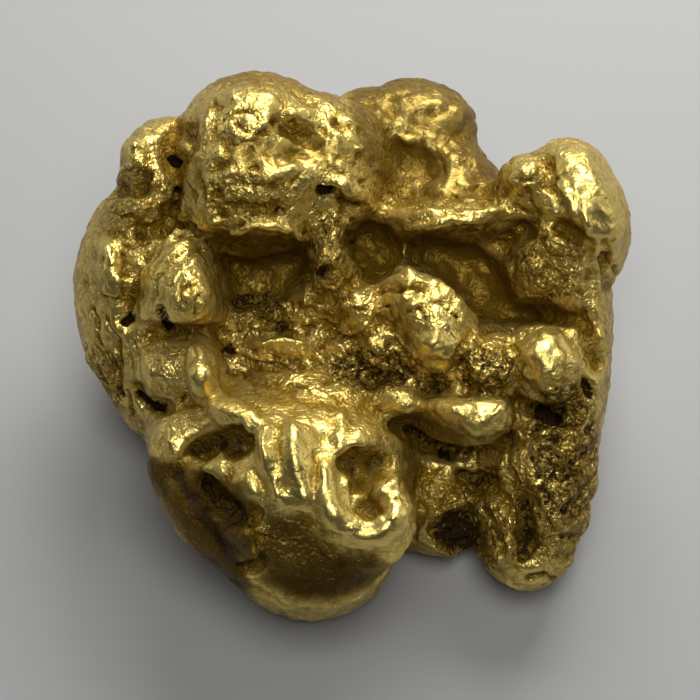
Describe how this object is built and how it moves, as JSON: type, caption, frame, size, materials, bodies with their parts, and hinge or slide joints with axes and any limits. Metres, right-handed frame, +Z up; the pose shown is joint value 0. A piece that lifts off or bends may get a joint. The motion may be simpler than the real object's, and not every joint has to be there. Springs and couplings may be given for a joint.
{
  "type": "natural gold nugget",
  "caption": "Small natural gold nugget: a knobbly, hollowed lump of native metal that lies on a worn flat patch underneath.",
  "frame": {"origin": "middle of the bounding box's foot, on the table the nugget lies on", "axes": "+Z up from the table, which is the shortest way through the lump; -Y towards the front, where the large smooth lower lobe is; +X to the right as seen from the front"},
  "size_m": [0.012, 0.0122, 0.008],
  "materials": {
    "gold": "natural gold, worn smooth on the knobs and dark and earthy in the hollows"
  },
  "bodies": {
    "root": {"nugget": "gold"}
  },
  "joints": []
}
